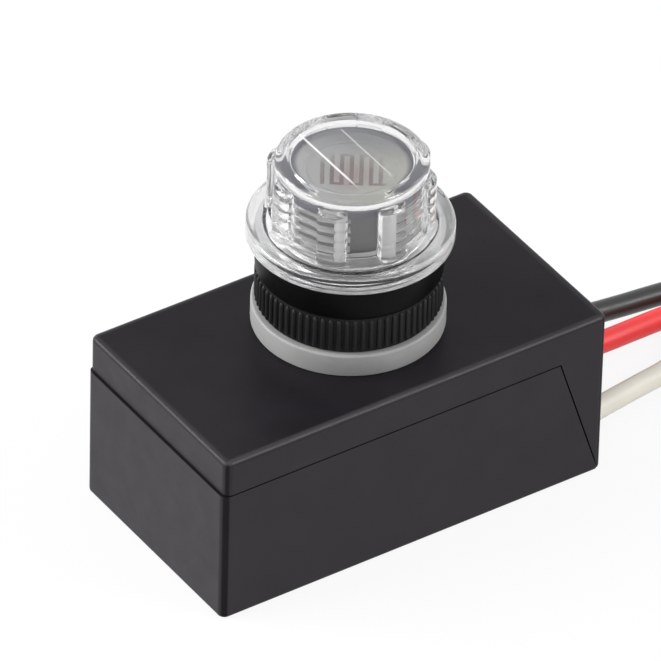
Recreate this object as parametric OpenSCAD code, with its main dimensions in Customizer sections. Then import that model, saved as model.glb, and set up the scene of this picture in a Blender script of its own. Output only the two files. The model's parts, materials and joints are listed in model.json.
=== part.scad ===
// Photocell switch: a two-piece moulded case with a hollow threaded neck on its lid. A gasket and a
// ribbed ring nut sit on the neck, and a clear lobed lens cap screws over its mouth, where a
// light cell looks up. Three flying leads come out of the end of the case.
// Millimetres, +Z up. The origin is the middle of the case's length and width, on the surface
// that it stands on. The leads leave at +X.

/* [Case] */
// Length of the case along X
case_l = 54.5; // [50:0.5:70]
// Width of the case along Y
case_w = 29.6; // [28:0.2:40]
// Height of the case, without the neck
case_h = 23.2; // [22:0.2:32]
// Thickness of the upright walls
wall = 1.6; // [1.4:0.1:2]
// Thickness of the base's floor
floor_t = 1.4; // [1.2:0.1:1.8]
// Thickness of the cover's roof
roof_t = 1.8; // [1.4:0.1:2.4]
// Radius of the upright corners
corner_r = 1; // [0.7:0.1:1.6]
// Radius of the top and bottom edges
edge_r = 0.6; // [0.3:0.1:0.7]
// Height of the cover's skirt, from its top to the joint
skirt_h = 4.75; // [4:0.25:8]
// Distance from the lead end to the place where the joint turns down
slant_head = 6.6; // [4:0.2:10]
// Distance from the lead end to the place where the joint meets the underside
slant_foot = 0.4; // [0.3:0.1:1]
// How far the base stands proud of the cover at the plain end
base_step = 0.28; // [0.1:0.02:0.5]
// Open joint between the two halves
joint_gap = 0.18; // [0.1:0.02:0.4]
// Height of the tongue on the base, inside the cover
tongue_h = 1.6; // [1:0.1:2.4]
// Thickness of that tongue
tongue_t = 0.7; // [0.5:0.05:0.9]

/* [Neck and stack] */
// Place of the neck's axis along X
neck_x = 0.9; // [-3:0.1:3]
// Place of the neck's axis along Y
neck_y = 1.45; // [-1.5:0.05:1.5]
// Radius of the neck at the root of its thread
neck_r = 7.9; // [7.8:0.1:8.1]
// Radius of the neck's bore
neck_bore_r = 6.2; // [5.8:0.1:6.4]
// Height of the neck above the case
neck_h = 14.4; // [14:0.2:17]
// Depth of the mouth that holds the cell's holder
mouth_t = 3; // [2:0.2:4]
// Room between the neck and the gasket
gasket_play = 0.6; // [0.5:0.1:0.9]
// Outer radius of the gasket
gasket_r = 11.65; // [11:0.05:13]
// Thickness of the gasket
gasket_t = 3; // [2:0.1:4]
// Room for the thread, between the neck and the bores of the nut and the cap
thread_play = 0.45; // [0.4:0.05:0.6]

/* [Ring nut] */
// Radius of the nut's smooth collar
nut_r = 11.25; // [10.6:0.05:12]
// Height of the whole nut
nut_h = 9.5; // [9.3:0.1:11]
// Height of the ribbed band
rib_band_h = 4.8; // [3:0.2:6]
// Number of ribs
rib_count = 72; // [48:4:84]
// Width of one rib
rib_w = 0.55; // [0.4:0.05:0.6]
// Height of the ribs above the band
rib_t = 0.32; // [0.2:0.02:0.4]
// Width of the groove between the ribs and the collar
nut_groove_w = 0.5; // [0.3:0.1:0.8]
// Depth of that groove
nut_groove_t = 0.4; // [0.2:0.1:0.6]
// Bevel on the nut's two ends
nut_bevel = 0.3; // [0.1:0.1:0.5]

/* [Lens cap] */
// Height of the whole cap
cap_h = 11.3; // [11.3:0.1:13]
// Radius of the cap's flange
flange_r = 12.45; // [12:0.05:13.5]
// Height of the flange's outer wall
flange_h = 2.3; // [1.6:0.05:3]
// Radius of the raised ring at the foot of the barrel
foot_r = 10.5; // [10.3:0.1:11.4]
// Height of that ring above the flange
foot_h = 0.8; // [0.3:0.1:1]
// Outer radius of the barrel
barrel_r = 9.2; // [9.15:0.05:9.6]
// Radius of the rounded rim
rim_r = 1; // [0.5:0.1:1.2]
// Number of grip lobes
lobe_count = 8; // [6:2:10]
// Radius over the lobes
lobe_r = 10.2; // [9.9:0.05:10.5]
// Width of one lobe
lobe_w = 3.5; // [2.4:0.1:4]
// Distance from the top of the cap to the top of the lobes
lobe_drop = 1.3; // [1:0.1:2]
// Slope height at the top of the lobes
lobe_bevel = 0.7; // [0.3:0.1:0.8]
// Turn of the lobes about the axis, in degrees
lobe_turn = -3; // [-22:1:22]
// Thickness of the window
window_t = 1.4; // [1:0.1:1.4]
// Radius of the window's clear middle
window_r = 7.4; // [7:0.1:7.8]
// Depth of the step round the window's underside
window_step = 0.2; // [0.1:0.05:0.2]

/* [Light cell] */
// Radius of the cell's holder
holder_r = 7.25; // [7.1:0.05:7.3]
// Space between the cell and the cap above it
cell_gap = 0.2; // [0.2:0.05:0.5]
// Play of the holder in the neck's mouth
holder_play = 0.1; // [0.05:0.05:0.15]
// Radius of the ceramic disc
disc_r = 5.5; // [5.2:0.1:5.6]
// Thickness of the ceramic disc
disc_t = 1.8; // [1.2:0.1:2]
// Play of the disc in its holder
disc_play = 0.1; // [0.05:0.05:0.15]
// Radius of the coated field on the disc
field_r = 5; // [4.8:0.1:5]
// Thickness of the coatings
coat_t = 0.12; // [0.06:0.02:0.2]
// Place of the cell from the neck's axis along X
cell_x = -0.8; // [-1:0.1:1]
// Place of the cell from the neck's axis along Y
cell_y = -1.1; // [-1.1:0.1:1.1]
// Turn of the zigzag track about the cell, in degrees
cell_turn = -35; // [-90:5:90]
// Number of passes of the zigzag track
track_passes = 7; // [3:2:9]
// Width of the track
track_w = 0.5; // [0.3:0.05:0.6]
// Distance from one pass to the next
track_pitch = 1.15; // [0.9:0.05:1.3]
// Length of each pass
track_l = 6.2; // [5:0.2:6.6]
// Distance between the cell's two wires
cell_wire_gap = 5; // [3:0.2:7]
// Radius of the cell's wires
cell_wire_r = 0.3; // [0.2:0.05:0.4]

/* [Circuit] */
// Thickness of the circuit board
board_t = 1.2; // [0.8:0.1:1.4]
// Space under the board
board_lift = 1.4; // [1.2:0.1:1.6]
// Space round the board's edges
board_gap = 0.6; // [0.4:0.1:1]
// Room for the leads between the board and the end wall
lead_room = 6.4; // [5:0.2:8]
// Radius of the posts under the board
post_r = 1.5; // [1.2:0.1:1.8]
// Radius of the pegs that hold the board
peg_r = 0.8; // [0.5:0.1:1]
// Space between the board's edge, the relay and the film capacitor
part_gap = 1.4; // [1:0.1:1.6]
// Distance of the pegs from the board's edges
peg_in = 2; // [1.8:0.1:2.4]
// Bend of the lying components' wires
bend = 1.2; // [0.8:0.1:1.4]
// Height of the relay
relay_h = 14.8; // [12:0.2:16.4]
// Length, width and height of the film capacitor
film_size = [13, 5, 11];
// Radius of the smoothing capacitor
can_r = 3.2; // [2.5:0.1:3.2]
// Height of the smoothing capacitor
can_h = 11; // [7:0.5:13]
// Radius of the varistor
varistor_r = 3.7; // [2.5:0.1:3.8]
// Thickness of the varistor
varistor_t = 3.4; // [2.4:0.1:3.6]
// Radius of the transistor
transistor_r = 2.3; // [2:0.1:2.4]
// Height of the transistor
transistor_h = 4.6; // [4:0.1:5.2]
// Height of the legs under the varistor and the transistor
leg_h = 1.4; // [1:0.1:2.5]
// Radius of all the component wires
wire_r = 0.32; // [0.2:0.02:0.4]
// Radius of the diodes
diode_r = 1.3; // [1:0.1:1.4]
// Length of a diode
diode_l = 5; // [4:0.1:5.2]
// Radius of the resistors
resistor_r = 1.1; // [0.8:0.1:1.2]
// Length of a resistor
resistor_l = 5.8; // [4.4:0.1:6]
// Radius of the solder cones
solder_r = 0.6; // [0.4:0.05:0.6]

/* [Leads] */
// Diameter of a lead over its insulation
lead_d = 2.8; // [2:0.1:3]
// Radial play of a lead in its hole
lead_play = 0.2; // [0.15:0.05:0.3]
// Radius of the bare conductor
strand_r = 0.55; // [0.4:0.05:0.7]
// Length of the bare tail that is soldered to the board
tail_l = 4; // [3:0.2:4.5]
// Radius of the solder round the foot of that tail
tail_r = 1.1; // [0.8:0.1:1.2]
// Length of a lead inside the case
lead_in = 7; // [6.5:0.1:7.5]
// Places of the leads across the end wall, as shares of half its inner width
lead_spots = [0.582, 0.092, -0.766];
// Radius of the coil, at the middle of its turns
coil_r = 14; // [14:0.2:16]
// Number of leads side by side in the coil
coil_lanes = 3; // [2:1:3]
// Number of layers in the coil
coil_layers = 2; // [1:1:3]
// Thickness of the tie round the coil
tie_t = 0.4; // [0.2:0.1:0.5]
// Width of that tie
tie_w = 3; // [2:0.5:6]

/* [Hidden] */
$fn = 64;
hull_fn = 32;
arc_steps = 4;
case_black = "#2b2a2d";
nut_black = "#1c1c1e";

// Case
x_end = case_l / 2;
y_side = case_w / 2;
joint_z = case_h - skirt_h;
cavity_x = x_end - wall;
cavity_y = y_side - wall;
ceiling_z = case_h - roof_t;
slant = [slant_head - slant_foot, -joint_z];
slant_len = norm(slant);
slant_out = [joint_z, slant_head - slant_foot] / slant_len;

// Stack on the neck
nut_z = case_h + gasket_t;
cap_z = nut_z + nut_h;
neck_top = case_h + neck_h;
mouth_r = holder_r + holder_play;
seat_z = neck_top - mouth_t;
thread_bore_r = neck_r + thread_play;
cap_ceiling = cap_h - window_t - window_step;
cell_z = cap_z + cap_ceiling - cell_gap;
holder_h = cell_z - seat_z;
disc_z = cell_z - disc_t;
cell_at = [neck_x + cell_x, neck_y + cell_y];
cell_wires_x = [cell_at.x - cell_wire_gap / 2, cell_at.x + cell_wire_gap / 2];

// Circuit
board_z = floor_t + board_lift;
board_top = board_z + board_t;
board_x0 = -cavity_x + board_gap;
board_x1 = cavity_x - lead_room;
board_y = cavity_y - board_gap;
close_gap = part_gap / 2;
relay_at = [board_x0 + part_gap, -board_y + part_gap];
relay_end = neck_x - neck_bore_r;
relay_size = [relay_end - relay_at.x, 2 * board_y - film_size.y - 3 * part_gap, relay_h];
film_at = [board_x0 + peg_in + post_r + part_gap, board_y - film_size.y - part_gap];
lead_start = x_end - lead_in;
tail_x = lead_start - tail_l;
row_gap = (tail_x - tail_r - relay_end - 2 * (transistor_r + can_r + 2 * diode_r)) / 5;
row_y = -board_y + part_gap + can_r;
transistor_at = [relay_end + row_gap + transistor_r, row_y];
can_at = [transistor_at.x + transistor_r + row_gap + can_r, row_y];
diode_x = can_at.x + can_r + row_gap + diode_r;
diode_cols_x = [diode_x, diode_x + 2 * diode_r + row_gap];
diode_reach = diode_l / 2 + bend + wire_r;
diode_y = -board_y + close_gap + diode_reach;
diode_rows_y = [diode_y, diode_y + 2 * diode_reach + close_gap];
varistor_at = [neck_x + varistor_r, board_y - part_gap - varistor_t / 2];
resistor_at = [[neck_x, row_y + can_r + close_gap + resistor_r],
    [neck_x, varistor_at.y - varistor_t / 2 - close_gap - resistor_r]];
leg_gap = 1.27;
relay_pins = [[1.4, 2], [1.4, relay_size.y - 2], [relay_size.x - 2, 2],
    [relay_size.x - 2, relay_size.y - 2], [relay_size.x - 2, relay_size.y / 2]];
pins = concat(
    [for (p = relay_pins) relay_at + p],
    [for (x = [1.5, film_size.x - 1.5]) film_at + [x, film_size.y / 2]],
    [for (s = [-1, 1]) can_at + [0, s * leg_gap]],
    [for (s = [-1, 1]) varistor_at + [s * 2 * leg_gap, 0]],
    [for (s = [-1:1]) transistor_at + [s * leg_gap, 0]],
    [for (x = diode_cols_x, y = diode_rows_y, s = [-1, 1]) [x, y + s * (diode_l / 2 + bend)]],
    [for (p = resistor_at, s = [-1, 1]) p + [s * (resistor_l / 2 + bend), 0]],
    [for (x = cell_wires_x) [x, cell_at.y]]);

// Leads. Each step is a distance from the end wall, a share of the way across to the lead's end
// by the coil, and a height.
lead_r = lead_d / 2;
lead_sides = 8;
lead_z = 4.6;
lead_ys = cavity_y * lead_spots;
coil_at = [x_end + 39, -11.5];
coil_w = coil_lanes * lead_d + 0.2;
coil_h = coil_layers * lead_d;
coil_round = 1;
tie_angle = 83;
lead_end_ys = [6.8, 3.2, -3];
lead_steps = [
    [[-lead_in, 0, lead_z], [0, 0, lead_z], [6, 0.1, 4.1], [12, 0.3, 3.5],
        [18, 0.4, 2.85], [23.5, 0.55, 2.4], [30.8, 1, 1.9]],
    [[-lead_in, 0, lead_z], [0, 0, lead_z], [6, 0.25, 4.1], [12, 0.5, 3.55],
        [17, 0.75, 3.05], [21.5, 0.95, 2.5], [25.3, 1, 2]],
    [[-lead_in, 0, lead_z], [0, 0, lead_z], [5, 0.17, 4.15], [10, 0.345, 3.6],
        [15, 0.535, 2.95], [19, 0.795, 2.3], [21.2, 1, 2]]];
lead_routes = [for (i = [0:2])
    [for (s = lead_steps[i])
        [x_end + s.x, lead_ys[i] + s.y * (lead_end_ys[i] - lead_ys[i]), s.z]]];
pegs_at = [[board_x0 + peg_in, board_y - peg_in],
    [board_x1 - peg_in, (lead_ys[0] + lead_ys[1]) / 2],
    [board_x1 - peg_in, (lead_ys[1] + lead_ys[2]) / 2]];
rest_at = [board_x0 + peg_in, -board_y / 3];

// Points of an arc about c, from angle a to angle b
function arc(c, r, a, b) =
    [for (i = [0:arc_steps]) let (t = a + (b - a) * i / arc_steps) c + r * [cos(t), sin(t)]];

// Moves what follows onto the neck's axis, at height z
module on_neck(z) {
    translate([neck_x, neck_y, z]) children();
}

// Moves what follows onto the cell's middle, at height z
module on_cell(z) {
    translate([cell_at.x, cell_at.y, z]) rotate(cell_turn) children();
}

// A tube with its own round bore, from z = 0
module tube(outer, inner, h) {
    difference() {
        cylinder(r = outer, h = h);
        translate([0, 0, -1]) cylinder(r = inner, h = h + 2);
    }
}

// A rounded block of the case's height, from x0 to the lead end
module case_block(x0) {
    post = concat([[0, 0]],
        arc([corner_r - edge_r, edge_r], edge_r, -90, 0),
        arc([corner_r - edge_r, case_h - edge_r], edge_r, 0, 90),
        [[0, case_h]]);
    hull()
        for (x = [x0 + corner_r, x_end - corner_r], y = [-1, 1] * (y_side - corner_r))
            translate([x, y, 0]) rotate_extrude($fn = hull_fn) polygon(post);
}

// Everything on the base's side of the joint, with the joint moved out by grow
module below_joint(grow) {
    head_x = x_end - slant_head + slant_out.x * grow
        + slant.x * grow * (1 - slant_out.y) / slant.y;
    foot_x = x_end - slant_foot + grow / slant_out.x;
    under = 1;
    lean = slant.x / joint_z;
    translate([0, case_w, 0]) rotate([90, 0, 0]) linear_extrude(2 * case_w)
        polygon([[-case_l, -under], [foot_x + lean * under, -under],
            [head_x, joint_z + grow], [-case_l, joint_z + grow]]);
}

// The space inside the case
module cavity() {
    translate([-cavity_x, -cavity_y, floor_t])
        cube([2 * cavity_x, 2 * cavity_y, ceiling_z - floor_t]);
}

// The tongue's outer limit on three sides, with some play
module tongue_block(play) {
    inset = wall - tongue_t - play;
    translate([-x_end + inset, -y_side + inset, floor_t])
        cube([x_end - inset + cavity_x, case_w - 2 * inset, case_h]);
}

module base_tray() {
    color(case_black) {
        difference() {
            union() {
                intersection() {
                    case_block(-x_end);
                    below_joint(-joint_gap);
                }
                intersection() {
                    tongue_block(0);
                    below_joint(tongue_h);
                }
            }
            cavity();
        }
        for (p = concat(pegs_at, [rest_at]))
            translate([p.x, p.y, floor_t]) cylinder(r = post_r, h = board_lift);
        for (p = pegs_at)
            translate([p.x, p.y, floor_t]) cylinder(r = peg_r, h = board_lift + board_t + peg_r);
    }
}

module top_cover() {
    color(case_black)
        difference() {
            union() {
                difference() {
                    case_block(-x_end + base_step);
                    cavity();
                    below_joint(0);
                    intersection() {
                        tongue_block(joint_gap / 2);
                        below_joint(tongue_h);
                    }
                }
                on_neck(ceiling_z) cylinder(r = neck_r, h = neck_top - ceiling_z);
            }
            on_neck(ceiling_z - 1) cylinder(r = neck_bore_r, h = neck_top - ceiling_z + 2);
            on_neck(seat_z) cylinder(r = mouth_r, h = mouth_t + 1);
            for (y = lead_ys)
                translate([cavity_x - 1, y, lead_z]) rotate([0, 90, 0])
                    cylinder(r = lead_r + lead_play, h = wall + 2);
        }
}

module gasket() {
    color("#b9b9b5") on_neck(case_h) tube(gasket_r, neck_r + gasket_play, gasket_t);
}

module ring_nut() {
    core_r = nut_r - rib_t;
    top_z = rib_band_h + nut_groove_w;
    outline = [[thread_bore_r, 0], [core_r - nut_bevel, 0], [core_r, nut_bevel],
        [core_r, rib_band_h], [nut_r - nut_groove_t, rib_band_h], [nut_r - nut_groove_t, top_z],
        [nut_r, top_z], [nut_r, nut_h - nut_bevel], [nut_r - nut_bevel, nut_h],
        [thread_bore_r, nut_h]];
    color(nut_black) on_neck(nut_z) {
        rotate_extrude() polygon(outline);
        for (i = [1:rib_count])
            rotate(i * 360 / rib_count)
                translate([core_r - rib_t, -rib_w / 2, nut_bevel])
                    cube([2 * rib_t, rib_w, rib_band_h - 2 * nut_bevel]);
    }
}

module lens_cap() {
    lobe_top = cap_h - lobe_drop;
    body = concat(
        [[0, 0], [flange_r, 0]],
        arc([flange_r - edge_r, flange_h - edge_r], edge_r, 0, 90),
        [[foot_r, flange_h], [foot_r - foot_h, flange_h + foot_h], [barrel_r, flange_h + foot_h]],
        arc([barrel_r - rim_r, cap_h - rim_r], rim_r, 0, 90),
        [[0, cap_h]]);
    lobe = [[0, 0], [lobe_r, 0], [lobe_r, lobe_top - lobe_bevel], [lobe_r - lobe_bevel, lobe_top],
        [0, lobe_top]];
    color("#dfe6e8", 0.45) on_neck(cap_z)
        difference() {
            union() {
                rotate_extrude() polygon(body);
                intersection() {
                    rotate_extrude() polygon(lobe);
                    for (i = [1:lobe_count])
                        rotate(lobe_turn + i * 360 / lobe_count)
                            translate([lobe_r - lobe_w / 2, 0, flange_h])
                                cylinder(r = lobe_w / 2, h = cap_h);
                }
            }
            translate([0, 0, -1]) cylinder(r = thread_bore_r, h = cap_ceiling + 1);
            cylinder(r = window_r, h = cap_ceiling + window_step);
        }
}

module cell_holder() {
    color("#d8d6ce")
        difference() {
            on_neck(seat_z) cylinder(r = holder_r, h = holder_h);
            on_cell(disc_z) cylinder(r = disc_r + disc_play, h = disc_t + 1);
            for (x = cell_wires_x)
                translate([x, cell_at.y, seat_z - 1])
                    cylinder(r = cell_wire_r + disc_play, h = holder_h + 1);
        }
}

module cell_disc() {
    color("#cfc8b8") on_cell(disc_z) cylinder(r = disc_r, h = disc_t);
}

// The zigzag of the light-sensitive track, as an outline that runs off the coated field
module track_outline() {
    first = -(track_passes - 1) / 2;
    for (i = [0:track_passes - 1])
        translate([(first + i) * track_pitch, 0])
            square([track_w, track_l], center = true);
    for (i = [0:track_passes - 2])
        translate([(first + i + 0.5) * track_pitch, (i % 2 == 0 ? 1 : -1) * (track_l - track_w) / 2])
            square([track_pitch + track_w, track_w], center = true);
    for (s = [-1, 1])
        translate([s * (-first * track_pitch + field_r), s * (-track_l + track_w) / 2])
            square([2 * field_r + track_w, track_w], center = true);
}

module cell_track() {
    color("#a4544c") on_cell(cell_z) linear_extrude(coat_t)
        intersection() {
            circle(field_r);
            track_outline();
        }
}

module cell_electrodes() {
    color("#8d8a86") on_cell(cell_z) linear_extrude(coat_t)
        difference() {
            circle(field_r);
            track_outline();
        }
}

module cell_wires() {
    color("silver")
        for (x = cell_wires_x)
            translate([x, cell_at.y, board_z]) cylinder(r = cell_wire_r, h = disc_z - board_z);
}

module circuit_board() {
    color("#b8925a")
        difference() {
            translate([board_x0, -board_y, board_z])
                cube([board_x1 - board_x0, 2 * board_y, board_t]);
            for (p = pegs_at)
                translate([p.x, p.y, board_z - 1]) cylinder(r = peg_r + disc_play, h = board_t + 2);
            for (x = cell_wires_x)
                translate([x, cell_at.y, board_z - 1])
                    cylinder(r = cell_wire_r + disc_play, h = board_t + 2);
        }
}

module relay() {
    lid = 0.4;
    color("#2f5f9e") translate([relay_at.x, relay_at.y, board_top]) {
        cube([relay_size.x, relay_size.y, relay_size.z / 4]);
        translate([lid, lid, 0]) cube(relay_size - [2 * lid, 2 * lid, 0]);
    }
}

module film_capacitor() {
    color("#d9b23c") translate([film_at.x, film_at.y, board_top]) cube(film_size);
}

module smoothing_capacitor() {
    pinch = 0.3;
    pinch_z = 1.4;
    outline = [[0, 0], [can_r, 0], [can_r, pinch_z - pinch], [can_r - pinch, pinch_z],
        [can_r, pinch_z + pinch], [can_r, can_h - pinch], [can_r - pinch, can_h], [0, can_h]];
    color("#20283c") translate([can_at.x, can_at.y, board_top]) rotate_extrude() polygon(outline);
}

// A standing wire from the board's top, of height h
module leg(p, h) {
    translate([p.x, p.y, board_top]) cylinder(r = wire_r, h = h);
}

module varistor() {
    color("#3d6fa8") {
        translate([varistor_at.x, varistor_at.y + varistor_t / 2, board_top + leg_h + varistor_r])
            rotate([90, 0, 0]) cylinder(r = varistor_r, h = varistor_t);
        for (s = [-1, 1])
            leg(varistor_at + [s * 2 * leg_gap, 0], leg_h + varistor_r);
    }
}

module transistor() {
    flat = transistor_r * 0.6;
    color("#262626") {
        translate([transistor_at.x, transistor_at.y, board_top + leg_h])
            difference() {
                cylinder(r = transistor_r, h = transistor_h);
                translate([-transistor_r, flat, -1])
                    cube([2 * transistor_r, transistor_r, transistor_h + 2]);
            }
        for (s = [-1:1])
            leg(transistor_at + [s * leg_gap, 0], leg_h + 1);
    }
}

// A lying component with bent wires: its body runs along X and is centred on the board's top
module axial_part(r, l) {
    reach = l / 2 + bend;
    translate([0, 0, r]) {
        translate([-l / 2, 0, 0]) rotate([0, 90, 0]) cylinder(r = r, h = l);
        translate([-reach - wire_r, 0, 0]) rotate([0, 90, 0]) cylinder(r = wire_r, h = 2 * (reach + wire_r));
    }
    for (s = [-1, 1])
        translate([s * reach, 0, 0]) cylinder(r = wire_r, h = r);
}

module diodes() {
    color("#2a2a2a")
        for (x = diode_cols_x, y = diode_rows_y)
            translate([x, y, board_top]) rotate(90) axial_part(diode_r, diode_l);
}

module resistors() {
    color("#c9a878")
        for (p = resistor_at)
            translate([p.x, p.y, board_top]) axial_part(resistor_r, resistor_l);
}

module solder_joints() {
    cone_h = board_lift * 0.6;
    color("silver")
        for (p = pins)
            translate([p.x, p.y, board_z - cone_h]) cylinder(r1 = solder_r / 2, r2 = solder_r, h = cone_h);
}

module lead_tails() {
    color("silver")
        for (y = lead_ys) {
            translate([tail_x, y, lead_z]) rotate([0, 90, 0]) cylinder(r = strand_r, h = tail_l);
            translate([tail_x, y, board_top])
                cylinder(r1 = tail_r, r2 = strand_r, h = lead_z - board_top + strand_r);
        }
}

// Direction of a route at its point i
function heading(route, i) =
    let (a = route[max(i - 1, 0)], b = route[min(i + 1, len(route) - 1)]) (b - a) / norm(b - a);

// Ring of points about a route's point i
function ring(route, i) =
    let (d = heading(route, i), s = cross([0, 0, 1], d) / norm(cross([0, 0, 1], d)), u = cross(d, s))
    [for (k = [0:lead_sides - 1])
        let (t = (k + 0.5) * 360 / lead_sides) route[i] + lead_r * (cos(t) * s + sin(t) * u)];

// A lead's tube along its route
module lead(route) {
    n = len(route);
    m = lead_sides;
    points = [for (i = [0:n - 1]) each ring(route, i)];
    sides = [for (i = [0:n - 2], k = [0:m - 1])
        [i * m + k, (i + 1) * m + k, (i + 1) * m + (k + 1) % m, i * m + (k + 1) % m]];
    ends = [[for (k = [0:m - 1]) k], [for (k = [m - 1:-1:0]) (n - 1) * m + k]];
    polyhedron(points, concat(sides, ends), convexity = 4);
}

module black_lead() {
    color("#1f1f1f") lead(lead_routes[0]);
}

module red_lead() {
    color("#d23a3a") lead(lead_routes[1]);
}

module white_lead() {
    color("#e2ddd2") lead(lead_routes[2]);
}

// Cross-section of the coil, grown by play
module coil_section(play) {
    low = tie_t - play;
    translate([coil_r - coil_w / 2 - play, low]) square([coil_w + 2 * play, coil_h + 2 * play]);
}

module lead_coil() {
    color("#55504e") translate([coil_at.x, coil_at.y, 0]) rotate_extrude()
        polygon(concat(
            arc([coil_r + coil_w / 2 - coil_round, tie_t + coil_round], coil_round, -90, 0),
            arc([coil_r + coil_w / 2 - coil_round, tie_t + coil_h - coil_round], coil_round, 0, 90),
            arc([coil_r - coil_w / 2 + coil_round, tie_t + coil_h - coil_round], coil_round, 90, 180),
            arc([coil_r - coil_w / 2 + coil_round, tie_t + coil_round], coil_round, 180, 270)));
}

module lead_tie() {
    color("#1a1a1a") translate([coil_at.x, coil_at.y, 0]) rotate(tie_angle)
        intersection() {
            rotate_extrude() difference() {
                coil_section(tie_t);
                coil_section(0);
            }
            translate([0, -tie_w / 2, -1]) cube([2 * coil_r, tie_w, 2 * coil_h]);
        }
}

base_tray();
top_cover();
gasket();
ring_nut();
lens_cap();
cell_holder();
cell_disc();
cell_track();
cell_electrodes();
cell_wires();
circuit_board();
relay();
film_capacitor();
smoothing_capacitor();
varistor();
transistor();
diodes();
resistors();
solder_joints();
lead_tails();
black_lead();
red_lead();
white_lead();
lead_coil();
lead_tie();
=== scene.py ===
import json
import math

import bmesh
import bpy
from mathutils import Matrix, Vector

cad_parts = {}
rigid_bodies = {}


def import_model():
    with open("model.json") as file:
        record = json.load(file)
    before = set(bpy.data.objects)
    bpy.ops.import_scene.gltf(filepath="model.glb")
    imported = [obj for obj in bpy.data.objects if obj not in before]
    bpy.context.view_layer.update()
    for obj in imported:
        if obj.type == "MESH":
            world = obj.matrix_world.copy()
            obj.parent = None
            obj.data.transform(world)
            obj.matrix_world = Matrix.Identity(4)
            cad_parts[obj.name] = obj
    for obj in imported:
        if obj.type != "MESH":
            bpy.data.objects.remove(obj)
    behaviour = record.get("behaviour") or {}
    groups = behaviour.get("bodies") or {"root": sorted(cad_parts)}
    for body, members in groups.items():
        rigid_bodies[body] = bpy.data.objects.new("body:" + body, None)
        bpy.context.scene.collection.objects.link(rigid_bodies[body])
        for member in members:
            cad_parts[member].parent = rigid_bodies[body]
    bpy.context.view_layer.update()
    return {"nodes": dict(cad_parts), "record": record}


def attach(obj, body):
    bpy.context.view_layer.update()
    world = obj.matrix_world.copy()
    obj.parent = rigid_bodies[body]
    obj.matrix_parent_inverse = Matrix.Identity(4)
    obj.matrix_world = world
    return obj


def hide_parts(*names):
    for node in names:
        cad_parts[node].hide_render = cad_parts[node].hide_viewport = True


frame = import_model()
nodes = frame["nodes"]
scene = bpy.context.scene
mm = 0.001
fullTurn = 2 * math.pi
print("frame loaded:", len(nodes), "nodes")

# what stands on the case: its axis and heights, shared by the pieces below (all settings in mm and degrees)
stack = {"axis": (0.9, 1.45), "deck": 23.2, "gasketT": 3, "nutH": 9.5}
nutZ = stack["deck"] + stack["gasketT"]
capZ = nutZ + stack["nutH"]


# small helpers for meshes
def addObject(name, data):
    made = bpy.data.objects.new(name, data)
    scene.collection.objects.link(made)
    return made


def finishPiece(piece, material, sharpAngle=35):
    piece.data.materials.clear()
    piece.data.materials.append(material)
    piece.data.shade_smooth()
    piece.data.set_sharp_from_angle(angle=math.radians(sharpAngle))
    return piece


def meshPiece(name, points, faces, material, sharpAngle=35):
    mesh = bpy.data.meshes.new(name)
    mesh.from_pydata(points, [], faces)
    work = bmesh.new()
    work.from_mesh(mesh)
    bmesh.ops.remove_doubles(work, verts=work.verts, dist=1e-7)
    bmesh.ops.recalc_face_normals(work, faces=work.faces)
    work.to_mesh(mesh)
    work.free()
    return finishPiece(addObject(name, mesh), material, sharpAngle)


def ringFaces(rows, columns):
    faces = []
    for i in range(rows - 1):
        low, high = i * columns, (i + 1) * columns
        for j in range(columns):
            k = (j + 1) % columns
            faces.append((low + j, low + k, high + k, high + j))
    return faces


# faces of one closed tube whose first ring begins at a given point
def tubeFaces(start, rows, sides):
    faces = [tuple(start + v for v in face) for face in ringFaces(rows, sides)]
    last = start + (rows - 1) * sides
    return faces + [tuple(start + k for k in range(sides)), tuple(last + k for k in range(sides))]


def ringPoint(axis, angle, r, z):
    return ((axis[0] + r * math.cos(angle)) * mm, (axis[1] + r * math.sin(angle)) * mm, z * mm)


# a closed solid of revolution about the axis, from an outline of (radius, height)
def lathe(outline, axis, baseZ, segments):
    angles = [fullTurn * j / segments for j in range(segments)]
    points = [ringPoint(axis, a, r, baseZ + z) for r, z in outline for a in angles]
    return points, ringFaces(len(outline), segments)


def arcPoints(cx, cz, r, start, end, steps=5):
    angles = [math.radians(start + (end - start) * i / steps) for i in range(steps + 1)]
    return [(cx + r * math.cos(a), cz + r * math.sin(a)) for a in angles]


# a smooth line through the points, sampled at even steps
def smoothLine(points, step, perSpan=24):
    p = [Vector(q) for q in points]
    p = [2 * p[0] - p[1]] + p + [2 * p[-1] - p[-2]]
    fine = []
    for i in range(1, len(p) - 2):
        for k in range(perSpan):
            t = k / perSpan
            fine.append(0.5 * (2 * p[i] + (p[i + 1] - p[i - 1]) * t
                               + (2 * p[i - 1] - 5 * p[i] + 4 * p[i + 1] - p[i + 2]) * t * t
                               + (3 * p[i] - p[i - 1] - 3 * p[i + 1] + p[i + 2]) * t ** 3))
    fine.append(p[-2])
    line, carried = [fine[0]], 0.0
    for a, b in zip(fine, fine[1:]):
        left = (b - a).length
        while carried + left >= step:
            a = a + (b - a) * ((step - carried) / left)
            left = (b - a).length
            carried = 0.0
            line.append(a.copy())
        carried += left
    return line


# camera, in metres
cameraSettings = {"azimuth": -34.59, "elevation": 37.61, "roll": 1.49, "distance": 1.31998,
                  "slideRight": 0.001652, "slideUp": -0.01776, "lens": 599.95, "sensor": 36}


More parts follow.
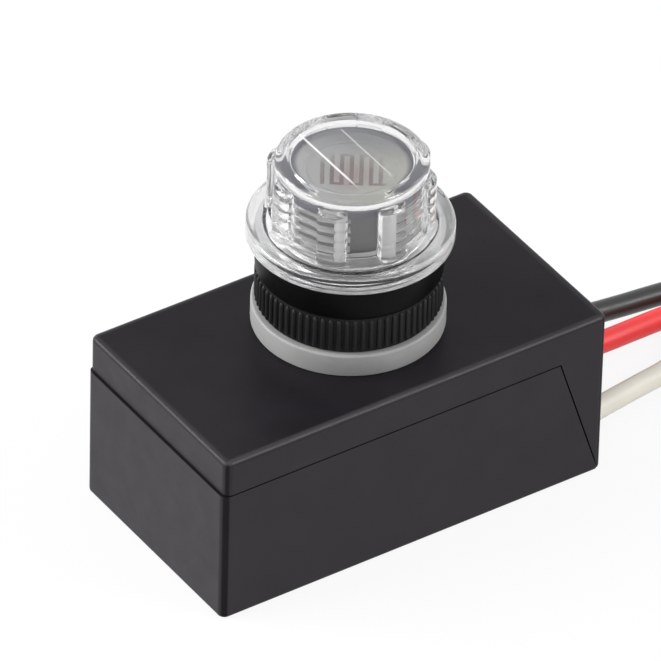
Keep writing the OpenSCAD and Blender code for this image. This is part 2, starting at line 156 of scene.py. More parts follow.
def makeCamera(s):
    a, e, r = (math.radians(s[k]) for k in ("azimuth", "elevation", "roll"))
    back = Vector((math.sin(a) * math.cos(e), -math.cos(a) * math.cos(e), math.sin(e)))
    right = Vector((math.cos(a), math.sin(a), 0))
    up = back.cross(right)
    across = math.cos(r) * right + math.sin(r) * up
    upright = math.cos(r) * up - math.sin(r) * right
    place = back * s["distance"] - across * s["slideRight"] - upright * s["slideUp"]
    camera = addObject("camera", bpy.data.cameras.new("camera"))
    camera.data.lens = s["lens"]
    camera.data.sensor_width = s["sensor"]
    camera.matrix_world = Matrix.Translation(place) @ Matrix((across, upright, back)).transposed().to_4x4()
    scene.camera = camera


makeCamera(cameraSettings)
print("camera set")


# small helpers for materials
def shaderOf(material):
    return material.node_tree.nodes["Principled BSDF"]


def newMaterial(name, color, roughness, **settings):
    material = bpy.data.materials.new(name)
    material.use_nodes = True
    shader = shaderOf(material)
    shader.inputs["Base Color"].default_value = (*color, 1)
    shader.inputs["Roughness"].default_value = roughness
    for key, value in settings.items():
        shader.inputs[key.replace("_", " ")].default_value = value
    material.diffuse_color = (*color, 1)
    return material, shader


# a node with its sockets or its own settings given by name
def addNode(material, kind, **values):
    node = material.node_tree.nodes.new(kind)
    for key, value in values.items():
        if key in node.inputs:
            node.inputs[key].default_value = value
        else:
            setattr(node, key, value)
    return node


def link(material, a, b):
    material.node_tree.links.new(a, b)


def objectNoise(material, scale, detail=3.0):
    coords = addNode(material, "ShaderNodeTexCoord")
    texture = addNode(material, "ShaderNodeTexNoise", Scale=scale, Detail=detail)
    link(material, coords.outputs["Object"], texture.inputs["Vector"])
    return texture.outputs["Fac"]


def mapRange(material, value, low, high, start, end, kind):
    node = addNode(material, "ShaderNodeMapRange", interpolation_type=kind,
                   **{"From Min": low, "From Max": high, "To Min": start, "To Max": end})
    link(material, value, node.inputs["Value"])
    return node.outputs["Result"]


# noise stays mostly between these two levels
def spread(material, value, low, high):
    return mapRange(material, value, 0.3, 0.7, low, high, "LINEAR")


def ramp(material, value, low, high, start=0.0, end=1.0):
    return mapRange(material, value, low, high, start, end, "SMOOTHSTEP")


def span(pair):
    return pair[0] * mm, pair[1] * mm


def tint(material, value, dark, light):
    node = addNode(material, "ShaderNodeMix", data_type="RGBA")
    sockets = [s for s in node.inputs if s.type == "RGBA"]
    for socket, color in zip(sockets, (dark, light)):
        if isinstance(color, bpy.types.NodeSocket):
            link(material, color, socket)
        else:
            socket.default_value = (*color, 1)
    link(material, value, node.inputs["Factor"])
    return [s for s in node.outputs if s.type == "RGBA"][0]


def calc(material, operation, *values):
    node = addNode(material, "ShaderNodeMath", operation=operation)
    for socket, value in zip(node.inputs, values):
        if isinstance(value, (int, float)):
            socket.default_value = value
        else:
            link(material, value, socket)
    return node.outputs[0]


def bump(material, shader, value, distance):
    node = addNode(material, "ShaderNodeBump", Strength=1.0, Distance=distance)
    link(material, value, node.inputs["Height"])
    link(material, node.outputs["Normal"], shader.inputs["Normal"])


def separate(material, vector):
    parts = addNode(material, "ShaderNodeSeparateXYZ")
    link(material, vector, parts.inputs[0])
    return [parts.outputs[k] for k in "XYZ"]


def objectXyz(material):
    return separate(material, addNode(material, "ShaderNodeTexCoord").outputs["Object"])


def fromAxis(material, x, y, axis=stack["axis"]):
    squares = [calc(material, "POWER", calc(material, "SUBTRACT", c, a * mm), 2.0)
               for c, a in zip((x, y), axis)]
    return calc(material, "SQRT", calc(material, "ADD", *squares))


def along(material, x, y, direction):
    parts = [calc(material, "MULTIPLY", calc(material, "SUBTRACT", c, a * mm), d)
             for c, a, d in zip((x, y), stack["axis"], direction)]
    return calc(material, "ADD", *parts)


# one moulded or dipped finish: soft mottling in colour and gloss, and a fine skin
def moulded(name, color, roughness, mottle=0.12, mottleScale=180, skinScale=5200, skin=4e-6, **settings):
    material, shader = newMaterial(name, color, roughness, **settings)
    patch = objectNoise(material, mottleScale)
    dark = tuple(c * (1 - mottle) for c in color)
    light = tuple(min(1, c * (1 + mottle)) for c in color)
    link(material, tint(material, spread(material, patch, 0, 1), dark, light), shader.inputs["Base Color"])
    gloss = objectNoise(material, mottleScale * 2.3)
    link(material, spread(material, gloss, roughness * 0.88, roughness * 1.12), shader.inputs["Roughness"])
    bump(material, shader, objectNoise(material, skinScale, 2.0), skin)
    return material


finishes = {
    "case_plastic": moulded("satinBlackCase", (0.0112, 0.0102, 0.0122), 0.38,
                            Specular_IOR_Level=0.24, Specular_Tint=(1, 0.9, 1, 1)),
    "nut_plastic": moulded("satinBlackNut", (0.0025, 0.0025, 0.0027), 0.4, skin=3e-6,
                           Specular_IOR_Level=0.07),
    "gasket_rubber": moulded("greyRubber", (0.3, 0.3, 0.297), 0.62, mottle=0.06, skinScale=3800, skin=8e-6),
    "tinned_metal": moulded("dullTin", (0.55, 0.55, 0.54), 0.38, mottle=0.1, mottleScale=700, Metallic=1.0),
    "board_laminate": moulded("brownLaminate", (0.46, 0.3, 0.13), 0.55, mottle=0.15),
    "relay_plastic": moulded("blueRelay", (0.05, 0.16, 0.4), 0.35),
    "film_plastic": moulded("yellowCapacitor", (0.7, 0.46, 0.08), 0.35),
    "can_sleeve": moulded("darkSleeve", (0.02, 0.03, 0.06), 0.25),
    "varistor_coat": moulded("blueDip", (0.06, 0.2, 0.42), 0.3),
    "moulded_black": moulded("blackEpoxy", (0.02, 0.02, 0.02), 0.5),
    "resistor_coat": moulded("beigeLacquer", (0.58, 0.4, 0.2), 0.4),
    "black_insulation": moulded("blackInsulation", (0.021, 0.02, 0.02), 0.36, skin=2e-6),
    "red_insulation": moulded("redInsulation", (0.9, 0.042, 0.046), 0.42, mottle=0.06, skin=2e-6),
    "white_insulation": moulded("whiteInsulation", (0.7, 0.66, 0.58), 0.4, mottle=0.04, skin=2e-6),
    "tie_plastic": moulded("blackTie", (0.015, 0.015, 0.015), 0.4),
}
# pale posts as painted highlights
postHighlightFinish = moulded("palePostHighlight", (0.72, 0.72, 0.71), 0.45, mottle=0.04)
# the seal's dark navy colour is painted shade
sealShadeFinish = moulded("sealPaintedShade", (0.03, 0.034, 0.062), 0.45)
turnFinish = moulded("greyTurns", (0.5, 0.5, 0.495), 0.22, mottle=0.04)
# the ribs are a little paler than the nut's collar, as painted sheen
ribFinish = moulded("ribBlack", (0.0105, 0.01, 0.0108), 0.5, Specular_IOR_Level=0.22)


# pale holder: painted shade makes its upright walls dark, with a darker band at their top by the seal, between a pale
# foot and a pale top;
# the top turns bluish grey at the back as painted shade, beige at the right as painted light, and is dark at its two
# sides as painted shade
holderSettings = {
    "wall": (0.055, 0.055, 0.06), "paintedShadeBack": (0.115, 0.12, 0.138), "plain": (0.345, 0.345, 0.34),
    "paintedLightRight": (0.38, 0.372, 0.328), "edge": (0.02, 0.022, 0.042), "foot": (0.7, 0.7, 0.69),
    "backShadeFade": (2, 12), "rightLightFade": (-4, 7), "rimShadeFade": (6.35, 7.1), "across": (0.823, -0.568),
    "sideShadeFade": (4.2, 5.8), "footZ": (38.3, 38.45), "shadeBandZ": (43.8, 43.95), "litTopFacing": (0.3, 0.7),
    "roughness": (0.42, 0.58), "glossScale": 400, "skin": 4e-6, "skinScale": 4000,
}
# red-brown film round the middle of the cell, with an uneven edge
cellBlush = {"at": (-0.6, -0.5), "fade": (1.2, 5.2), "color": (0.25, 0.165, 0.15), "level": 0.85,
             "uneven": 2, "unevenScale": 500}
trackBlush = {**cellBlush, "at": (-1.0, -0.9), "fade": (3.4, 7.2), "color": (0.1, 0.042, 0.04), "level": 0.95}


def makeHolder(name, s, blush=None):
    material, shader = newMaterial(name, s["plain"], 0.5)
    x, y, z = objectXyz(material)
    # painted shade and light: bluish and darker towards the back, paler beige towards the right
    back = ramp(material, calc(material, "ADD", x, y), *span(s["backShadeFade"]))
    side = ramp(material, calc(material, "SUBTRACT", x, y), *span(s["rightLightFade"]))
    color = tint(material, side, s["plain"], s["paintedLightRight"])
    color = tint(material, back, color, s["paintedShadeBack"])
    if blush:
        off = fromAxis(material, x, y, blush["at"])
        uneven = calc(material, "MULTIPLY", objectNoise(material, blush["unevenScale"]), blush["uneven"] * mm)
        off = calc(material, "ADD", off, uneven)
        color = tint(material, ramp(material, off, *span(blush["fade"]), blush["level"], 0.0),
                     color, blush["color"])
    else:
        # painted shade: the top's outer rim darkened at its two sides
        sideways = calc(material, "ABSOLUTE", along(material, x, y, s["across"]))
        dark = calc(material, "MULTIPLY", ramp(material, fromAxis(material, x, y), *span(s["rimShadeFade"])),
                    ramp(material, sideways, *span(s["sideShadeFade"])))
        color = tint(material, dark, color, s["edge"])
        # painted shade: upright faces take the dark wall colour, darker still at their top; only the foot stays pale
        wall = tint(material, ramp(material, z, *span(s["footZ"])), s["foot"], s["wall"])
        wall = tint(material, ramp(material, z, *span(s["shadeBandZ"])), wall, s["edge"])
        facing = separate(material, addNode(material, "ShaderNodeNewGeometry").outputs["Normal"])[2]
        color = tint(material, ramp(material, facing, *s["litTopFacing"]), wall, color)
    link(material, color, shader.inputs["Base Color"])
    gloss = objectNoise(material, s["glossScale"])
    link(material, spread(material, gloss, *s["roughness"]), shader.inputs["Roughness"])
    bump(material, shader, objectNoise(material, s["skinScale"], 2.0), s["skin"])
    return material


finishes["holder_plastic"] = makeHolder("paleHolder", holderSettings)
# the cell's ceramic, film and electrodes carry the same painted shade at the back and painted light at the right
finishes["cell_ceramic"] = makeHolder("cellCeramic", holderSettings, {**cellBlush, "level": 0.75})
finishes["cell_film"] = makeHolder("redBrownFilm", holderSettings, trackBlush)
electrodeFinish = makeHolder("dullElectrode", holderSettings, cellBlush)


# clear moulding: polished, with frost under the flange and at the foot of the bore, heavier at the sides than at the
# front as painted light, and fine flow lines in the window (x, from y, to y, half width, level)
clearSettings = {
    "color": (0.925, 0.929, 0.932), "roughness": 0.03, "clear": 0.97, "ior": 1.49,
    "wave": 6e-6, "waveScale": 420, "toFront": (-0.568, -0.823),
    "frostZ": (35.83, 35.87), "frosted": 0.85, "frostedFront": 0.03, "sideLightFade": (3.5, 8.5),
    "overhang": 0.27, "overhangR": (11.1, 11.3), "frostRough": 0.3,
    "ringStep": 0.55, "ringLevel": 0.17, "ringFade": (0.6, 0.95),
    "boreZ": (38.1, 38.3), "boreR": (8.9, 9.1), "boreFrost": (0.78, 0.12), "boreSideLightFade": (1, 7),
    "lines": ((-1.94, -5, 8.6, 0.21, 0.62), (2.77, -6, 6.9, 0.13, 0.3)),
    "lineZ": (46.8, 46.83), "lineStart": 4, "lineEnd": 0.4, "lineColor": (0.97, 0.97, 0.97),
}


# how frosted each spot of the clear moulding is; its change from the sides to the front is painted light
def clearFrost(material, s, x, y, z):
    radius = fromAxis(material, x, y)
    ahead = along(material, x, y, s["toFront"])
    inside = ramp(material, radius, *span(s["overhangR"]), 1.0, 0.0)
    # painted light: more frost, so paler, at the sides than at the front
    front = ramp(material, ahead, *span(s["sideLightFade"]), s["frosted"], s["frostedFront"])
    waves = calc(material, "SINE", calc(material, "MULTIPLY", radius, fullTurn / (s["ringStep"] * mm)))
    rings = ramp(material, waves, *s["ringFade"], 0.0, s["ringLevel"])
    under = calc(material, "MULTIPLY", inside, calc(material, "SUBTRACT", front, s["overhang"]))
    under = calc(material, "ADD", calc(material, "ADD", under, s["overhang"]), rings)
    under = calc(material, "MULTIPLY", ramp(material, z, *span(s["frostZ"]), 1.0, 0.0),
                 calc(material, "MINIMUM", under, 1.0))
    bore = calc(material, "MULTIPLY", ramp(material, z, *span(s["boreZ"]), 1.0, 0.0),
                ramp(material, radius, *span(s["boreR"]), 1.0, 0.0))
    # painted light: the bore's frost also fades from the sides to the front
    bore = calc(material, "MULTIPLY", bore, ramp(material, ahead, *span(s["boreSideLightFade"]), *s["boreFrost"]))
    return calc(material, "MAXIMUM", under, bore)


# how much of each spot is a flow line
def clearMarks(material, s, x, y, z):
    marks = 0.0
    for atX, fromY, toY, wide, level in s["lines"]:
        off = calc(material, "ABSOLUTE", calc(material, "SUBTRACT", x, atX * mm))
        mark = ramp(material, off, *span((wide * 0.4, wide)), level, 0.0)
        start = ramp(material, y, *span((fromY, fromY + s["lineStart"])))
        end = ramp(material, y, *span((toY - s["lineEnd"], toY)), 1.0, 0.0)
        mark = calc(material, "MULTIPLY", calc(material, "MULTIPLY", mark, start), end)
        marks = calc(material, "ADD", mark, marks)
    return calc(material, "MULTIPLY", marks, ramp(material, z, *span(s["lineZ"])))


def makeClear(name, s):
    material, shader = newMaterial(name, s["color"], s["roughness"], Transmission_Weight=s["clear"],
                                   IOR=s["ior"])
    bump(material, shader, objectNoise(material, s["waveScale"], 1.0), s["wave"])
    x, y, z = objectXyz(material)
    frost = clearFrost(material, s, x, y, z)
    clear = calc(material, "MULTIPLY", calc(material, "SUBTRACT", 1.0, frost), s["clear"])
    link(material, clear, shader.inputs["Transmission Weight"])
    link(material, ramp(material, frost, 0.0, 0.1, s["roughness"], s["frostRough"]),
         shader.inputs["Roughness"])
    white = addNode(material, "ShaderNodeBsdfDiffuse", Color=(*s["lineColor"], 1))
    mix = addNode(material, "ShaderNodeMixShader")
    link(material, clearMarks(material, s, x, y, z), mix.inputs[0])
    link(material, shader.outputs[0], mix.inputs[1])
    link(material, white.outputs[0], mix.inputs[2])
    link(material, mix.outputs[0], material.node_tree.nodes["Material Output"].inputs["Surface"])
    return material


finishes["clear_plastic"] = makeClear("clearMoulding", clearSettings)

# the case's upright corners, lowest edge and flat top shine less as painted shade, with a painted contact shadow along
# the lowest edge, and the lid's top edges are painted paler as a painted highlight
edgeSettings = {
    "x": (26.35, 26.6), "y": (14.2, 14.45), "z": (0.15, 0.7), "plain": 0.24, "shadeShine": 0.04,
    "endShadeShine": 0.5, "topZ": (23.12, 23.19), "topShadeShine": 0.6,
    "highlightX": (26.0, 26.5), "highlightXLevel": 0.6, "highlightY": (13.8, 14.3), "topEdgeZ": (22.75, 23.0),
    "paintedHighlight": (0.042, 0.0405, 0.043), "highlightPatch": (0.8, 1.0), "highlightScale": 260,
}


def dressEdges(material, s):
    shader = shaderOf(material)
    x, y, z = objectXyz(material)
    x, y = calc(material, "ABSOLUTE", x), calc(material, "ABSOLUTE", y)
    high = ramp(material, z, *span(s["topEdgeZ"]))
    # painted shade: less shine at the upright corners, the end's top edge, the lowest edge and the flat top
    corner = calc(material, "MULTIPLY", ramp(material, x, *span(s["x"])), ramp(material, y, *span(s["y"])))
    end = calc(material, "MULTIPLY", ramp(material, x, *span(s["x"]), 0.0, s["endShadeShine"]), high)
    share = calc(material, "MAXIMUM", corner, ramp(material, z, *span(s["z"]), 1.0, 0.0))
    share = calc(material, "MAXIMUM", share, end)
    share = calc(material, "MAXIMUM", share, ramp(material, z, *span(s["topZ"]), 0.0, s["topShadeShine"]))
    shine = ramp(material, share, 0.0, 1.0, s["plain"], s["shadeShine"])
    link(material, shine, shader.inputs["Specular IOR Level"])
    # painted highlight: the lid's top edges made paler in patches
    near = calc(material, "MAXIMUM", ramp(material, x, *span(s["highlightX"]), 0.0, s["highlightXLevel"]),
                ramp(material, y, *span(s["highlightY"])))
    patch = spread(material, objectNoise(material, s["highlightScale"]), *s["highlightPatch"])
    paintedEdgeHighlight = calc(material, "MULTIPLY", calc(material, "MULTIPLY", near, high), patch)
    plain = shader.inputs["Base Color"].links[0].from_socket
    link(material, tint(material, paintedEdgeHighlight, plain, s["paintedHighlight"]), shader.inputs["Base Color"])


dressEdges(finishes["case_plastic"], edgeSettings)

# the nut's band behind the ribs is a little paler than its collar, as painted sheen
bandSheenSettings = {"z": (31.1, 31.2), "band": (0.016, 0.0155, 0.0165), "collar": (0.002, 0.002, 0.0022)}


def paintedBandSheen(material, s):
    z = objectXyz(material)[2]
    color = tint(material, ramp(material, z, *span(s["z"])), s["band"], s["collar"])
    link(material, color, shaderOf(material).inputs["Base Color"])


paintedBandSheen(finishes["nut_plastic"], bandSheenSettings)

slotOf = {p["node"]: p["material_slot"] for p in frame["record"]["subparts"]}
for name, node in nodes.items():
    node.data.materials.clear()
    node.data.materials.append(electrodeFinish if name == "cell_electrodes" else finishes[slotOf[name]])
print("finishes made:", len(finishes))

# leads: out of the end wall, along the route, then round the coil
leadSettings = {
    "diameter": 2.8, "length": 150, "step": 0.8, "stripped": 8,
    "coilAt": (66.25, -11.5), "lowZ": 1.8, "highZ": 4.6, "climbFrom": 185, "climbTo": 275,
    "joinAt": 5, "coilTurn": 640, "coilStep": 15, "exitPoint": 2,
    "black": {"node": "black_lead", "lane": 16.8,
              "route": [(20.25, 7.682, 4.6), (23.75, 7.682, 4.6), (27.25, 7.682, 4.6), (33.25, 7.594, 4.1),
                        (39.25, 7.417, 3.5), (45.25, 7.329, 2.85), (50.75, 7.197, 2.4), (58.05, 6.8, 1.9),
                        (62.25, 6.15, 1.8)]},
    "red": {"node": "red_lead", "lane": 14,
            "route": [(20.25, 1.214, 4.6), (23.75, 1.214, 4.6), (27.25, 1.214, 4.6), (33.25, 1.6, 3.95),
                      (39.25, 2.05, 3.35), (44.25, 2.6, 2.85), (48.75, 3.05, 2.4), (52.55, 3.2, 2),
                      (57.25, 3.15, 1.8), (62.25, 2.8, 1.8)]},
    "white": {"node": "white_lead", "lane": 11.2,
              "route": [(20.25, -10.111, 4.6), (23.75, -10.111, 4.6), (27.25, -10.111, 4.6),
                        (32.25, -8.902, 4.15), (37.25, -7.658, 3.6), (42.25, -6.307, 2.95),
                        (46.25, -4.458, 2.3), (48.45, -3, 2), (52.25, -0.9, 1.85), (56.75, 0.25, 1.8),
                        (61.75, 0.3, 1.8)]},
}


def leadLine(s, one):
    cx, cy = s["coilAt"]
    points = list(one["route"])
    turned = s["joinAt"]
    while turned < s["coilTurn"]:
        share = min(1, max(0, (turned - s["climbFrom"]) / (s["climbTo"] - s["climbFrom"])))
        z = s["lowZ"] + (s["highZ"] - s["lowZ"]) * share * share * (3 - 2 * share)
        t = math.radians(90 - turned)
        points.append((cx + one["lane"] * math.cos(t), cy + one["lane"] * math.sin(t), z))
        turned += s["coilStep"]
    line = smoothLine(points, s["step"])
    body = round(s["length"] / s["step"])
    end = body + round(s["stripped"] / s["step"])
    return line[:body + 1], line[body - 1:end + 1]


def leadCurve(name, line, diameter, material):
    curve = bpy.data.curves.new(name, "CURVE")
    curve.dimensions = "3D"
    curve.bevel_depth = diameter / 2 * mm
    curve.bevel_resolution = 5
    curve.use_fill_caps = True
    spline = curve.splines.new("POLY")
    spline.points.add(len(line) - 1)
    for point, place in zip(spline.points, line):
        point.co = (*(place * mm), 1)
    spline.use_smooth = True
    curve.materials.append(material)
    return addObject(name, curve)


# bare conductor: six strands twisted round one, along the last of the lead's line
strandSettings = {"around": 6, "strandR": 0.2, "layR": 0.36, "twist": 9.0, "sides": 6}


def strandBundle(name, line, step, s, material):
    points, faces = [], []
    for n in range(s["around"] + 1):
        start = len(points)
        layR = s["layR"] if n < s["around"] else 0
        for i, place in enumerate(line):
            ahead = (line[min(i + 1, len(line) - 1)] - line[max(i - 1, 0)]).normalized()
            side = ahead.cross(Vector((0, 0, 1))).normalized()
            over = side.cross(ahead)
            t = fullTurn * (n / s["around"]) + i * step * fullTurn / s["twist"]
            centre = place + (side * math.cos(t) + over * math.sin(t)) * layR
            for k in range(s["sides"]):
                a = fullTurn * k / s["sides"]
                points.append((centre + (side * math.cos(a) + over * math.sin(a)) * s["strandR"]) * mm)
        faces += tubeFaces(start, len(line), s["sides"])
    return meshPiece(name, points, faces, material, 60)


for color in ("black", "red", "white"):
    one = leadSettings[color]
    body, bare = leadLine(leadSettings, one)
    lead = leadCurve(color + "Lead", body, leadSettings["diameter"], finishes[color + "_insulation"])
    strands = strandBundle(color + "LeadStrands", bare, leadSettings["step"], strandSettings,
                           finishes["tinned_metal"])
    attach(lead, "root")
    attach(strands, "root")
    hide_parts(one["node"], *(["lead_coil"] if color == "black" else []))
print("leads laid")


# geometry nodes: a small builder
class NodeTree:
    def __init__(self, name, inputs):
        self.tree = bpy.data.node_groups.new(name, "GeometryNodeTree")
        self.tree.interface.new_socket("Geometry", in_out="OUTPUT", socket_type="NodeSocketGeometry")
        self.tree.interface.new_socket("Geometry", in_out="INPUT", socket_type="NodeSocketGeometry")
        self.ids = {}
        for key, value in inputs.items():
            kind = "NodeSocketMaterial" if key == "Finish" else (
                "NodeSocketInt" if isinstance(value, int) else "NodeSocketFloat")
            self.ids[key] = self.tree.interface.new_socket(key, in_out="INPUT", socket_type=kind).identifier
        self.given = self.tree.nodes.new("NodeGroupInput")
        self.result = self.tree.nodes.new("NodeGroupOutput")
        self.values = inputs

    def add(self, kind, links=None, **settings):
        node = self.tree.nodes.new(kind)
        for key, value in settings.items():
            setattr(node, key, value)
        for key, value in (links or {}).items():
            socket = node.inputs[key]
            if isinstance(value, bpy.types.NodeSocket):
                self.tree.links.new(value, socket)
            else:
                socket.default_value = value
        return node

    def get(self, key):
        return self.given.outputs[key]

    def calc(self, operation, a, b=0.0):
        return self.add("ShaderNodeMath", {0: a, 1: b}, operation=operation).outputs[0]

    def vector(self, **parts):
        return self.add("ShaderNodeCombineXYZ", parts).outputs[0]

    def build(self, name, geometry):
        real = self.add("GeometryNodeRealizeInstances", {"Geometry": geometry})
        dressed = self.add("GeometryNodeSetMaterial", {"Geometry": real.outputs[0],
                                                       "Material": self.get("Finish")})
        self.tree.links.new(dressed.outputs[0], self.result.inputs[0])
        maker = addObject(name + "Maker", bpy.data.meshes.new(name + "Maker"))
        modifier = maker.modifiers.new("nodes", "NODES")
        modifier.node_group = self.tree
        for key, value in self.values.items():
            modifier[self.ids[key]] = value
        graph = bpy.context.evaluated_depsgraph_get()
        mesh = bpy.data.meshes.new_from_object(maker.evaluated_get(graph))
        mesh.name = name
        maker.modifiers.remove(modifier)
        bpy.data.objects.remove(maker)
        return addObject(name, mesh)


axisInputs = {"Axis x": stack["axis"][0] * mm, "Axis y": stack["axis"][1] * mm}

# gasket: a plain rubber ring with softened edges
gasketSettings = {"outer": 11.65, "inner": 8.5, "soft": 0.3, "softLow": 0.2, "softBore": 0.1, "segments": 128}


def makeGasket(s):
    o, i, e, low, b = (s[k] for k in ("outer", "inner", "soft", "softLow", "softBore"))
    t = stack["gasketT"]
    outline = (arcPoints(i + b, b, b, 180, 270, 2) + arcPoints(o - low, low, low, 270, 360) + [(o, t / 2)]
               + arcPoints(o - e, t - e, e, 0, 90) + arcPoints(i + b, t - b, b, 90, 180, 2))
    outline.append(outline[0])
    return meshPiece("gasketRing", *lathe(outline, stack["axis"], stack["deck"], s["segments"]),
                     finishes["gasket_rubber"], 50)


gasket = makeGasket(gasketSettings)
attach(gasket, "root")
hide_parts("gasket")

# ring nut: a turned body, with its ribs from geometry nodes
nutSettings = {"outer": 11.25, "bore": 8.35, "bandTop": 4.9, "bandDepth": 0.3, "grooveW": 0.4,
               "grooveT": 0.42, "slope": 0.05, "soft": 0.3, "softGroove": 0.15, "chamfer": 0.3,
               "segments": 144, "ribs": 72, "ribR": 0.3, "ribLow": 0.25, "ribHigh": 4.8, "ribRows": 17,
               "ribSides": 12, "ribEnd": 14.0}


def makeNut(s):
    o, b, h, e, c, g = s["outer"], s["bore"], stack["nutH"], s["soft"], s["chamfer"], s["softGroove"]
    core, groove = o - s["bandDepth"], o - s["grooveT"]
    band, top = s["bandTop"], s["bandTop"] + s["grooveW"]
    outline = ([(b + c, 0)] + arcPoints(core - e, e, e, 270, 360) + [(core, band)]
               + [(groove, band + s["slope"]), (groove, top - s["slope"])]
               + arcPoints(o - g, top + g, g, 270, 360, 3)
               + arcPoints(o - e, h - e, e, 0, 90) + [(b + c, h), (b, h - c), (b, c)])
    outline.append(outline[0])
    return meshPiece("nutBody", *lathe(outline, stack["axis"], nutZ, s["segments"]),
                     finishes["nut_plastic"], 40)


def makeRibs(s):
    tree = NodeTree("nutRibs", {
        "Count": s["ribs"], "Radius": (s["outer"] - s["ribR"]) * mm, "Rib radius": s["ribR"] * mm,
        "Low": (nutZ + s["ribLow"]) * mm, "High": (nutZ + s["ribHigh"]) * mm, **axisInputs,
        "Finish": ribFinish})
    line = tree.add("GeometryNodeCurvePrimitiveLine", {"Start": tree.vector(Z=tree.get("Low")),
                                                       "End": tree.vector(Z=tree.get("High"))})
    cut = tree.add("GeometryNodeResampleCurve", {"Curve": line.outputs[0], "Count": s["ribRows"]})
    factor = tree.add("GeometryNodeSplineParameter").outputs["Factor"]
    fromMiddle = tree.calc("ABSOLUTE", tree.calc("SUBTRACT", tree.calc("MULTIPLY", factor, 2.0), 1.0))
    rounded = tree.calc("SQRT", tree.calc("SUBTRACT", 1.001, tree.calc("POWER", fromMiddle, s["ribEnd"])))
    shaped = tree.add("GeometryNodeSetCurveRadius", {"Curve": cut.outputs[0], "Radius": rounded})
    section = tree.add("GeometryNodeCurvePrimitiveCircle", {"Resolution": s["ribSides"],
                                                            "Radius": tree.get("Rib radius")})
    rib = tree.add("GeometryNodeCurveToMesh", {
        "Curve": shaped.outputs[0], "Profile Curve": section.outputs[0], "Fill Caps": True})
    if "Scale" in rib.inputs:
        tree.tree.links.new(rounded, rib.inputs["Scale"])
    spots = tree.add("GeometryNodeMeshCircle", {"Vertices": tree.get("Count"), "Radius": tree.get("Radius")})
    placed = tree.add("GeometryNodeInstanceOnPoints", {"Points": spots.outputs[0],
                                                       "Instance": rib.outputs[0]})
    centre = tree.vector(X=tree.get("Axis x"), Y=tree.get("Axis y"))
    moved = tree.add("GeometryNodeTransform", {"Geometry": placed.outputs[0], "Translation": centre})
    return finishPiece(tree.build("nutRibs", moved.outputs[0]), ribFinish, 60)


nut = makeNut(nutSettings)
ribs = makeRibs(nutSettings)
for piece in (nut, ribs):
    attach(piece, "root")
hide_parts("ring_nut")
print("gasket and nut made")

# neck thread: one ridge that winds up the neck, from geometry nodes
threadSettings = {"pitch": 1.41, "root": 7.85, "crest": 8.25, "low": 12.9, "high": 14.1, "ridgeW": 0.8,
                  "perTurn": 64, "sides": 8}


def makeThread(s):
    tall = s["high"] - s["low"]
    tree = NodeTree("neckThread", {
        "Turns": tall / s["pitch"], "Radius": s["root"] * mm, "Height": tall * mm,
        "Ridge": (s["crest"] - s["root"]) * mm, "Ridge width": s["ridgeW"] * mm, **axisInputs,
        "Low": (stack["deck"] + s["low"]) * mm, "Finish": finishes["case_plastic"]})
    spiral = tree.add("GeometryNodeCurveSpiral", {
        "Resolution": s["perTurn"], "Rotations": tree.get("Turns"), "Start Radius": tree.get("Radius"),
        "End Radius": tree.get("Radius"), "Height": tree.get("Height"), "Reverse": False})
    upright = tree.add("GeometryNodeSetCurveNormal", {"Curve": spiral.outputs[0]}, mode="Z_UP")
    section = tree.add("GeometryNodeCurvePrimitiveCircle", {"Resolution": s["sides"], "Radius": 1.0})
    size = tree.vector(X=tree.get("Ridge"), Y=tree.calc("MULTIPLY", tree.get("Ridge width"), 0.5), Z=1.0)
    shaped = tree.add("GeometryNodeTransform", {"Geometry": section.outputs[0], "Scale": size})
    ridge = tree.add("GeometryNodeCurveToMesh", {
        "Curve": upright.outputs[0], "Profile Curve": shaped.outputs[0], "Fill Caps": True})
    place = tree.vector(X=tree.get("Axis x"), Y=tree.get("Axis y"), Z=tree.get("Low"))
    moved = tree.add("GeometryNodeTransform", {"Geometry": ridge.outputs[0], "Translation": place})
    return finishPiece(tree.build("neckThread", moved.outputs[0]), finishes["case_plastic"], 60)


thread = makeThread(threadSettings)
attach(thread, "root")
print("neck thread made")

# bead of cement that fills the joint between the cell's disc and its holder
beadSettings = {"at": (0.1, 0.35), "inner": 5.3, "outer": 5.8, "z": 45.2, "high": 0.02, "sunk": 0.05,
                "slope": 0.06, "segments": 96}


def makeBead(s):
    i, o, low, high = s["inner"], s["outer"], -s["sunk"], s["high"]
    outline = [(i, low), (i + s["slope"], high), (o - s["slope"], high), (o, low), (i, low)]
    return meshPiece("cellBead", *lathe(outline, s["at"], s["z"], s["segments"]),
                     finishes["holder_plastic"], 60)


bead = makeBead(beadSettings)
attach(bead, "root")

# seal ring between the top of the holder and the cap, coloured dark navy as painted shade
sealSettings = {"inner": 7.3, "outer": 8.2, "low": 43.95, "high": 45.0, "soft": 0.1, "segments": 96}


def makeSeal(s):
    i, o, e, high = s["inner"], s["outer"], s["soft"], s["high"] - s["low"]
    outline = ([(i, 0)] + arcPoints(o - e, e, e, 270, 360, 3) + arcPoints(o - e, high - e, e, 0, 90, 3)
               + [(i, high), (i, 0)])
    return meshPiece("sealRing", *lathe(outline, stack["axis"], s["low"], s["segments"]), sealShadeFinish, 50)


seal = makeSeal(sealSettings)
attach(seal, "root")

# pale posts round the holder inside the cap, set as painted highlights for the bright streaks seen through it, from
# geometry nodes
postSettings = {"count": 8, "turn": -134.5, "radius": 7.62, "wide": 1.1, "low": 37.8, "high": 43.9,
                "sides": 20}


